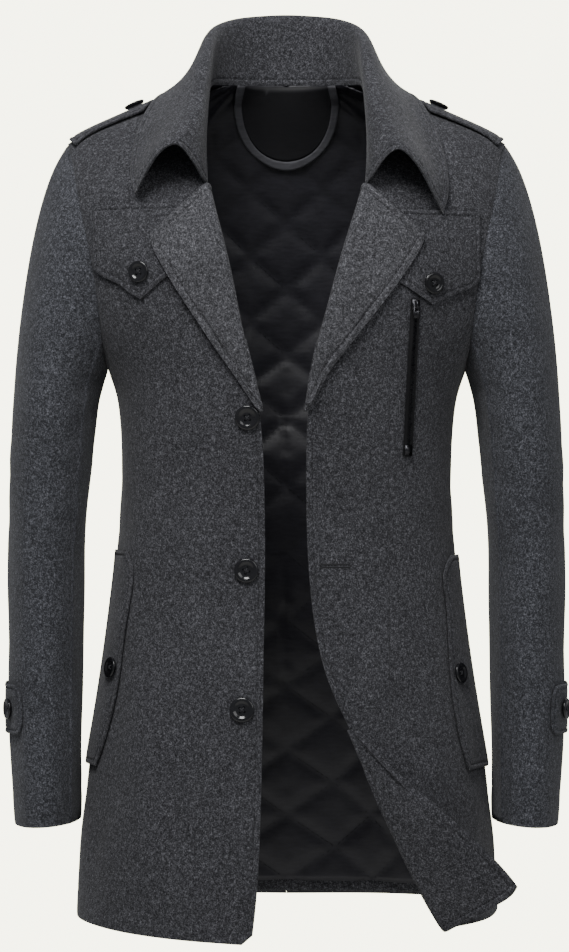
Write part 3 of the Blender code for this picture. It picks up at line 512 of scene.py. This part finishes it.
class Surface:
    """The points, outer normals and outer edge of a fine cloth mesh."""

    def __init__(self, mesh):
        self.points = read(mesh.vertices, "co", 3)
        sides = read(mesh.polygons, "material_index", 1, np.int32)
        self.corners = read(mesh.loops, "vertex_index", 1, np.int32)
        starts = read(mesh.polygons, "loop_start", 1, np.int32)
        counts = read(mesh.polygons, "loop_total", 1, np.int32)
        self.faces = np.stack([self.corners[starts + np.minimum(i, counts - 1)] for i in range(4)], axis=1)
        self.sides = sides
        outer = self.faces[sides == OUTER]
        corners = [self.points[outer[:, i]] for i in range(4)]
        across = np.cross(corners[2] - corners[0], corners[3] - corners[1])
        self.normals = np.zeros_like(self.points)
        for i in range(4):
            np.add.at(self.normals, outer[:, i], across)
        self.normals /= np.linalg.norm(self.normals, axis=1)[:, None] + 1e-12
        self.outer = np.unique(outer)
        rim = np.unique(self.faces[sides == RIM])
        self.edge = np.intersect1d(self.outer, rim)

    def away(self, chosen):
        """How far each outer point is from the chosen points of the edge."""
        if not len(chosen):
            raise RuntimeError("no point of the edge was chosen")
        tree = KDTree(len(chosen))
        for i, p in enumerate(self.points[chosen]):
            tree.insert(p, i)
        tree.balance()
        far = np.full(len(self.points), 1.0)
        for i in self.outer:
            far[i] = tree.find(self.points[i])[2]
        return far

    def line(self, far, level):
        """Chains of points and normals along the outer side, where far passes the level."""
        faces = self.faces[self.sides == OUTER]
        values = far[faces]
        faces = faces[(values.min(axis=1) < level) & (values.max(axis=1) > level)]
        links = {}
        for face in faces:
            hits = []
            for i in range(4):
                a, b = int(face[i]), int(face[(i + 1) % 4])
                if (far[a] - level) * (far[b] - level) < 0:
                    hits.append((min(a, b), max(a, b)))
            if len(hits) == 2:
                links.setdefault(hits[0], []).append(hits[1])
                links.setdefault(hits[1], []).append(hits[0])
        chains, used = [], set()
        for start in sorted(links, key=lambda k: len(links[k])):
            if start in used:
                continue
            chain, here = [], start
            while here is not None:
                used.add(here)
                chain.append(here)
                here = next((k for k in links[here] if k not in used), None)
            if len(chain) > 4:
                pairs = np.array(chain)
                share = (level - far[pairs[:, 0]]) / (far[pairs[:, 1]] - far[pairs[:, 0]])
                chains.append(tuple(
                    rows[pairs[:, 0]] * (1 - share)[:, None] + rows[pairs[:, 1]] * share[:, None]
                    for rows in (self.points, self.normals)
                ))
        return chains


STITCHES = {}


def cloth(node, looks, lift, levels=3, margin=None, stitched=None, hem=None, cuts=(), shape=None):
    """Fine cloth in the place of a CAD node: looks are its outer and inner sides', margin is how far
    inside its edge it is stitched, and hem how far a turned hem's own row is."""
    bm = welded(node, cuts)
    outer = sides_of(bm, node)
    if margin:
        ringed(bm, outer, margin)
    mesh = subdivided(bm, node + "_cloth", levels)
    surface = Surface(mesh)
    edge = surface.points[surface.edge]
    up = -0.0004 * np.exp(-surface.away(surface.edge) / 0.0011)
    if margin:
        chosen = surface.edge if stitched is None else surface.edge[stitched(edge)]
        far = surface.away(chosen)
        up += 0.00035 * np.sin(math.pi * np.clip(far / margin, 0, 1))
        up -= 0.0007 * np.exp(-((far - margin) / 0.0012) ** 2)
    if hem:
        depth, below = hem
        far_hem = surface.away(surface.edge[edge[:, 2] < below])
        up -= 0.0005 * np.exp(-((far_hem - depth) / 0.0022) ** 2)
    if shape:
        up += shape(surface.points)
    surface.points += surface.normals * up[:, None]
    surface.points += LIFT[lift](surface.points)
    if margin:
        STITCHES[node] = surface.line(far, margin)
    mesh.vertices.foreach_set("co", surface.points.ravel())
    mesh.materials.clear()
    for look in looks:
        mesh.materials.append(look)
    last = len(looks) - 1
    index = np.where(surface.sides == INNER, last, 0)
    if len(looks) == 3:
        middle = surface.points[surface.faces].mean(axis=1)
        edging = np.abs(np.arctan2(middle[:, 0] / 0.19, -middle[:, 1] / 0.12)) < 0.75
        index = np.where((surface.sides == INNER) & edging, 1, index)
    mesh.polygons.foreach_set("material_index", index.astype(np.int32))
    mesh.shade_smooth()
    mesh.update()
    piece = linked(node + "_cloth", mesh)
    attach(piece, "coat")
    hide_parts(node)
    return piece


def thread_rows(name, chains, look, pitch=0.0046, length=0.0034, thick=0.00028):
    """Short stitches in rows: each is a spindle that rises out of the cloth and goes back into it."""
    centres, ways, ups = [], [], []
    for points, normals in chains:
        along = np.concatenate([[0], np.cumsum(np.linalg.norm(np.diff(points, axis=0), axis=1))])
        if along[-1] < 2 * pitch:
            continue
        at = np.arange(pitch / 2, along[-1] - pitch / 2, pitch)

        def on(rows, where):
            return np.stack([np.interp(where, along, rows[:, k]) for k in range(3)], axis=1)

        way = on(points, at + length / 2) - on(points, at - length / 2)
        centres.append(on(points, at))
        ways.append(way / (np.linalg.norm(way, axis=1)[:, None] + 1e-9))
        up = on(normals, at)
        ups.append(up / (np.linalg.norm(up, axis=1)[:, None] + 1e-9))
    centres, ways, ups = (np.concatenate(rows) for rows in (centres, ways, ups))
    beside = np.cross(ways, ups)
    rings = []
    for share, size, high in ((-0.5, 0, -0.00025), (-0.25, 1, 0.0001), (0.25, 1, 0.0001), (0.5, 0, -0.00025)):
        core = centres + ways * (share * length) + ups * high
        if size == 0:
            rings.append([core])
        else:
            round_core = (beside * thick, ups * thick, -beside * thick, -ups * thick)
            rings.append([core + step for step in round_core])
    points = np.stack(sum(rings, []), axis=1).reshape(-1, 3)
    faces = []
    for i in range(4):
        j = (i + 1) % 4
        faces += [(0, 1 + j, 1 + i), (1 + i, 1 + j, 5 + j, 5 + i), (9, 5 + i, 5 + j)]
    all_faces = [tuple(k + 10 * n for k in face) for n in range(len(centres)) for face in faces]
    mesh = bpy.data.meshes.new(name)
    mesh.from_pydata(points.tolist(), [], all_faces)
    mesh.materials.append(look)
    mesh.shade_smooth()
    piece = linked(name, mesh)
    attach(piece, "coat")
    return piece

# ---------------------------------------------------------------- buttons, zip and sewn marks


def frame_of(node, away=None):
    """A flat piece's middle, its longest way, its way across and its way out of the coat, with its sizes."""
    points = np.unique(np.array([v.co for v in NODES[node].data.vertices]).round(7), axis=0)
    middle = (points.min(0) + points.max(0)) / 2 if away is None else points.mean(0)
    ways = np.linalg.svd(points - points.mean(0), full_matrices=False)[2]
    out = ways[2]
    if np.dot(out, np.array(away) if away is not None else middle * (1, 1, 0)) < 0:
        out = -out
    long = ways[0] if ways[0][2] > 0 else -ways[0]
    across = np.cross(long, out)
    spans = [np.ptp(points @ way) for way in (long, across, out)]
    low = (points @ out).min()
    middle = out * low
    for way in (long, across):
        middle = middle + way * ((points @ way).min() + (points @ way).max()) / 2
    return Vector(middle), Vector(long), Vector(across), Vector(out), spans


# radius as a share of the button's, height above its back in mm
BUTTON_PROFILE = (
    (0, 2.0), (0.40, 2.0), (0.50, 2.12), (0.58, 2.5), (0.66, 3.1), (0.74, 3.42), (0.84, 3.5), (0.92, 3.34),
    (0.975, 2.9), (1.0, 2.3), (0.985, 1.6), (0.93, 0.7), (0.85, 0), (0, 0),
)
HOLE, HOLE_PLACE = 1.15, 2.1


def turned(name, profile, steps, radius):
    """The profile spun round Z, its first and last points on the axis."""
    bm = bmesh.new()
    line = [bm.verts.new((r * radius, 0, h * 0.001)) for r, h in profile]
    edges = [bm.edges.new(pair) for pair in zip(line, line[1:])]
    bmesh.ops.spin(bm, geom=line + edges, cent=(0, 0, 0), axis=(0, 0, 1), angle=2 * math.pi, steps=steps,
                   use_merge=True)
    bmesh.ops.remove_doubles(bm, verts=bm.verts, dist=1e-6)
    bmesh.ops.recalc_face_normals(bm, faces=bm.faces)
    mesh = bpy.data.meshes.new(name)
    bm.to_mesh(mesh)
    bm.free()
    return linked(name, mesh)


def button_shape(radius):
    """A dished button with four sewn holes through it."""
    body = turned("button_rough", BUTTON_PROFILE, 40, radius)
    hole = HOLE * 0.001 / radius
    holes = turned("holes", ((0, -1), (hole, -1), (hole, 5), (0, 5)), 14, radius)
    copies = []
    for x, y in ((1, 1), (1, -1), (-1, 1), (-1, -1)):
        copy = holes.data.copy()
        copy.transform(Matrix.Translation((x * HOLE_PLACE * 0.001, y * HOLE_PLACE * 0.001, 0)))
        copies.append(linked("hole", copy))
    for cutter in copies:
        cut = body.modifiers.new("cut", "BOOLEAN")
        cut.object = cutter
        cut.operation = "DIFFERENCE"
        cut.solver = "EXACT"
    made = bpy.data.meshes.new_from_object(body.evaluated_get(bpy.context.evaluated_depsgraph_get()))
    for rough in copies + [body, holes]:
        bpy.data.objects.remove(rough)
    for face in made.polygons:
        face.use_smooth = True
    made.set_sharp_from_angle(angle=math.radians(38))
    return made


def thread_cross(name):
    """Two crossed strands of thread over a button's four holes, which go down into them."""
    bm = bmesh.new()
    for turn in (math.pi / 4, -math.pi / 4):
        for shift in (-0.28, 0.28):
            rings = []
            for step in range(9):
                share = step / 4 - 1
                along = HOLE_PLACE * 1.414 * share
                high = 1.2 + 1.35 * (1 - abs(share) ** 3.2) + (0.25 if turn > 0 else 0)
                ring = []
                for k in range(6):
                    a = k * math.pi / 3
                    beside = shift + 0.3 * math.cos(a)
                    x = along * math.cos(turn) - beside * math.sin(turn)
                    y = along * math.sin(turn) + beside * math.cos(turn)
                    ring.append(bm.verts.new((x * 0.001, y * 0.001, (high + 0.3 * math.sin(a)) * 0.001)))
                rings.append(ring)
            for first, second in zip(rings, rings[1:]):
                for k in range(6):
                    bm.faces.new((first[k], first[(k + 1) % 6], second[(k + 1) % 6], second[k]))
            bm.faces.new(rings[0][::-1])
            bm.faces.new(rings[-1])
    bmesh.ops.recalc_face_normals(bm, faces=bm.faces)
    mesh = bpy.data.meshes.new(name)
    bm.to_mesh(mesh)
    bm.free()
    mesh.shade_smooth()
    return mesh


def put(name, mesh, look, matrix, body="coat"):
    """A copy of the mesh at that place, riding on the body."""
    mesh = mesh.copy()
    mesh.name = name
    mesh.transform(matrix)
    mesh.materials.clear()
    mesh.materials.append(look)
    piece = linked(name, mesh)
    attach(piece, body)
    return piece


def matrix_of(middle, across, long, out):
    made = Matrix((across, long, out)).transposed().to_4x4()
    made.translation = middle
    return made


def sewn_buttons():
    shapes = {}
    for node in NODES:
        if not node.startswith("button"):
            continue
        hand = node.rsplit("_", 1)[1]
        home = None
        if "cuff" in node:
            heights, middles = SLEEVE_LINES[hand]
            low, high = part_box(node)
            home = (low + high) / 2 - Vector((*middles[2], (low.z + high.z) / 2))
        if "epaulette" in node:
            home = Vector((0, 0, 1))
        middle, long, across, out, spans = frame_of(node, home)
        radius = round((spans[0] + spans[1]) / 4, 4)
        if radius not in shapes:
            shapes[radius] = button_shape(radius)
        up = Vector((0, 0, 1)) if abs(out.z) < 0.8 else Vector((0, 1, 0))
        side = up.cross(out).normalized()
        up = out.cross(side)
        moved = LIFT[hand if "cuff" in node else "torso"](np.array([middle]))[0]
        place = matrix_of(middle + Vector(moved), side, up, out)
        tilt = Matrix.Rotation(0.5 if node.endswith("2") else 0.12, 4, "Z")
        piece = put(node + "_horn", shapes[radius], HORN, place @ tilt)
        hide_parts(node)
        put(node + "_thread", thread_cross(node + "_thread"), PALE_THREAD, place @ tilt)


def bevelled(node, look, body, width):
    """A metal piece in its node's place, with its edges rounded."""
    bm = bmesh.new()
    bm.from_mesh(NODES[node].data)
    bmesh.ops.remove_doubles(bm, verts=bm.verts, dist=1e-6)
    bmesh.ops.dissolve_limit(bm, angle_limit=0.02, verts=bm.verts, edges=bm.edges)
    bmesh.ops.bevel(
        bm, geom=bm.edges[:] + bm.verts[:], offset=width, segments=2, affect="EDGES", clamp_overlap=True
    )
    mesh = bpy.data.meshes.new(node + "_round")
    bm.to_mesh(mesh)
    bm.free()
    mesh.materials.append(look)
    for face in mesh.polygons:
        face.use_smooth = True
    mesh.set_sharp_from_angle(angle=math.radians(50))
    piece = linked(node + "_round", mesh)
    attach(piece, body)
    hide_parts(node)


TOOTH, TOOTH_PITCH = (1.5, 0.62, 0.55), 1.25


def zip_teeth():
    """Two rows of small teeth that reach between each other along the middle of the tape."""
    middle, long, across, out, spans = frame_of("zip_tape")
    stop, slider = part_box("zip_stop"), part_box("zip_slider")
    low = ((stop[0] + stop[1]) / 2 - middle).dot(long) + 0.0035
    high = ((slider[0] + slider[1]) / 2 - middle).dot(long) - 0.004
    wide, tall, deep = TOOTH
    points, faces = [], []
    count = int((high - low) / (TOOTH_PITCH * 0.0005))
    for n in range(count):
        sign = 1 if n % 2 else -1
        root = middle + long * (low + n * TOOTH_PITCH * 0.0005)
        root = root + across * (sign * 0.0011) + out * (spans[2] - 0.0001)
        first = len(points)
        for h, grow in ((0, 1.0), (0.7, 0.92), (1.0, 0.6)):
            for x, z in ((-1, -1), (1, -1), (1, 1), (-1, 1)):
                reach = x * wide / 2 - sign * 0.35 * (x * sign < 0)
                points.append(
                    root + across * (reach * grow * 0.001) + long * (z * tall / 2 * grow * 0.001)
                    + out * (h * deep * 0.001)
                )
        for base in (first, first + 4):
            for k in range(4):
                j = (k + 1) % 4
                faces.append((base + k, base + j, base + 4 + j, base + 4 + k))
        faces.append(tuple(first + 8 + k for k in range(4)))
        faces.append(tuple(first + 3 - k for k in range(4)))
    mesh = bpy.data.meshes.new("zip_teeth")
    mesh.from_pydata([tuple(p) for p in points], [], faces)
    mesh.materials.append(METAL)
    piece = linked("zip_teeth", mesh)
    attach(piece, "coat")


def surface_point(piece, x, z):
    """The point of a piece that is seen from the front at x and z, and its normal."""
    hit, place, normal, face = piece.ray_cast(Vector((x, -1, z)), Vector((0, 1, 0)))
    if not hit:
        raise RuntimeError(f"nothing of {piece.name} is seen at {x}, {z}")
    return place, normal


def buttonhole(piece, x0, x1, z):
    """A close row of stitches round the buttonhole's place, and a small eye at the end nearer the edge; the
    slit itself is not cut.
    """
    rows, count = [], 76
    for n in range(count):
        a = 2 * math.pi * n / count
        eye = 1.0 + 0.7 * math.exp(-((math.cos(a) + 1) / 0.1) ** 2)
        x = (x0 + x1) / 2 + (x1 - x0) / 2 * math.cos(a)
        height = z + 0.0014 * eye * math.copysign(min(1, abs(math.sin(a)) * 3), math.sin(a))
        place, normal = surface_point(piece, x, height)
        middle, _ = surface_point(piece, x, z)
        outward = (place - middle).normalized()
        if (place - middle).length < 1e-6:
            outward = Vector((math.cos(a), 0, 0))
        rows.append((place, normal, outward))
    points, faces = [], []
    for n, (place, normal, outward) in enumerate(rows):
        swell = 1.25 if n % 2 else 0.9
        for share, lift in ((-1.0, -0.2), (-0.6, 0.5), (0.2, 0.62), (1.0, -0.2)):
            points.append(place + outward * (share * 0.0009 * swell) + normal * (lift * 0.0007 * swell))
        for k in range(3):
            a, b = 4 * n + k, 4 * ((n + 1) % count) + k
            faces.append((a, b, b + 1, a + 1))
    mesh = bpy.data.meshes.new("buttonhole")
    mesh.from_pydata([tuple(p) for p in points], [], faces)
    mesh.materials.append(THREAD)
    mesh.shade_smooth()
    hole = linked("buttonhole", mesh)
    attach(hole, "coat")


def quilt_lines():
    """The valleys between the lining's diamonds: each raised point has four low ones round it."""
    bm = bmesh.new()
    bm.from_mesh(NODES["lining_back"].data)
    bmesh.ops.remove_doubles(bm, verts=bm.verts, dist=1e-6)
    bm.normal_update()
    bm.verts.index_update()
    inner, outer = [], []
    for vertex in bm.verts:
        across = Vector((vertex.co.x, vertex.co.y, 0.0))
        (inner if vertex.normal.dot(across) < 0 else outer).append(vertex)
    backs = KDTree(len(outer))
    for i, vertex in enumerate(outer):
        backs.insert(vertex.co, i)
    backs.balance()
    raised = {v for v in inner if backs.find(v.co)[2] > 0.0027}
    lines = {}
    for top in sorted(raised, key=lambda v: v.index):
        low = [e.other_vert(top) for e in top.link_edges if e.other_vert(top) not in raised]
        low = sorted(low, key=lambda v: (v.co - top.co).length)[:4]
        if len(low) < 4:
            continue
        side = top.normal.orthogonal().normalized()
        up = top.normal.cross(side)
        low.sort(key=lambda v: math.atan2((v.co - top.co).dot(up), (v.co - top.co).dot(side)))
        for first, second in zip(low, low[1:] + low[:1]):
            key = tuple(sorted((first.index, second.index)))
            lines[key] = (first.co.copy(), second.co.copy())
    bm.free()
    return [lines[key] for key in sorted(lines)]


def quilting(piece):
    """Sinks the lining's valleys, puffs what is between them, and sews a row of stitches along each."""
    mesh = piece.data
    lines = quilt_lines()
    shares = np.arange(0.025, 1, 0.05)

    def on_surface():
        tree = BVHTree.FromPolygons([v.co for v in mesh.vertices], [p.vertices for p in mesh.polygons])
        return [[tree.find_nearest(a.lerp(b, share))[:2] for share in shares] for a, b in lines]

    near = KDTree(len(lines) * len(shares))
    for i, hit in enumerate(hit for row in on_surface() for hit in row):
        near.insert(hit[0], i)
    near.balance()
    points, normals = read(mesh.vertices, "co", 3), read(mesh.vertex_normals, "vector", 3)
    across = points[:, :2] / np.linalg.norm(points[:, :2], axis=1)[:, None]
    for i in np.flatnonzero(np.sum(normals[:, :2] * across, axis=1) < -0.3):
        far = near.find(points[i])[2]
        puff = 0.0018 * (1 - math.exp(-((far / 0.009) ** 2))) - 0.0009 * math.exp(-((far / 0.003) ** 2))
        points[i] += normals[i] * puff
    mesh.vertices.foreach_set("co", points.ravel())
    mesh.update()
    rows = [(np.array([hit[0] for hit in row]), np.array([hit[1] for hit in row])) for row in on_surface()]
    thread_rows("quilting", rows, THREAD, pitch=0.006, length=0.0044, thick=0.00024)

# ---------------------------------------------------------------- the coat's pieces

make_camera()
make_studio()


def front_edge(points):
    return (np.abs(points[:, 0]) < 0.075) & (points[:, 2] < -0.318) & (points[:, 2] > -0.80)


def right_front_edge(points):
    return (np.abs(points[:, 0]) < 0.056) & (points[:, 2] < -0.318) & (points[:, 2] > -0.66)


DART = 0.1, -0.63, -0.27
DART_CUTS = [((DART[0] + step, 0, 0), (1, 0, 0)) for step in (-0.0022, -0.0009, 0.0009, 0.0022)]


def dart(points):
    """A sewn dart down the front: a narrow trough between two soft edges."""
    middle, low, high = DART
    ends = eased(points[:, 2], low, low + 0.05) * eased(-points[:, 2], -high, -high + 0.05)
    beside = points[:, 0] - middle
    return ends * (0.0004 * np.exp(-(beside / 0.006) ** 2) - 0.0013 * np.exp(-(beside / 0.0012) ** 2))


HEM = (0.025, -0.785)
FRONT_LOOKS = [BODY_WOOL, FACING_WOOL, LINING]
cloth("front_left", FRONT_LOOKS, "torso", margin=0.006, stitched=front_edge, hem=HEM)
cloth("front_right", FRONT_LOOKS, "torso", margin=0.006, stitched=right_front_edge, hem=HEM,
      cuts=DART_CUTS, shape=dart)
for hand in HANDS:
    cloth("back_" + hand, [BODY_WOOL, LINING], "torso", hem=HEM)
    cloth("sleeve_top_" + hand, [SLEEVE_WOOL, LINING], hand, hem=(0.03, -0.70))
    cloth("sleeve_under_" + hand, [SLEEVE_WOOL, LINING], hand, levels=2, hem=(0.03, -0.70))
    cloth("lapel_" + hand, [FACING_WOOL], "torso", margin=0.007)
    cloth("chest_flap_" + hand, [BODY_WOOL], "torso", margin=0.005)
    cloth("pocket_flap_" + hand, [BODY_WOOL], "torso", margin=0.005)
    cloth("epaulette_" + hand, [BODY_WOOL], "torso", levels=2, margin=0.005)
    cloth("cuff_strap_" + hand, [SLEEVE_WOOL], hand, levels=2, margin=0.004)
cloth("collar", [BODY_WOOL], "torso", margin=0.006)
cloth("turnback_right", [BODY_WOOL], "torso", margin=0.007)
cloth("hem_band", [BODY_WOOL], "torso")
cloth("lining_back", [LINING], "torso")
cloth("neck_facing", [FACING_LINING], "torso", levels=2)
cloth("neck_binding", [BINDING], "torso", levels=2)
thread_rows("topstitching", [chain for chains in STITCHES.values() for chain in chains], THREAD)

sewn_buttons()
bevelled("zip_slider", METAL, "coat", 0.0003)
bevelled("zip_stop", METAL, "coat", 0.0003)
bevelled("zip_pull", METAL, "pull_tab", 0.00025)
zip_teeth()
NODES["zip_tape"].material_slots[0].material = TAPE
buttonhole(bpy.data.objects["front_right_cloth"], 0.0325, 0.0615, -0.4575)
quilting(bpy.data.objects["lining_back_cloth"])
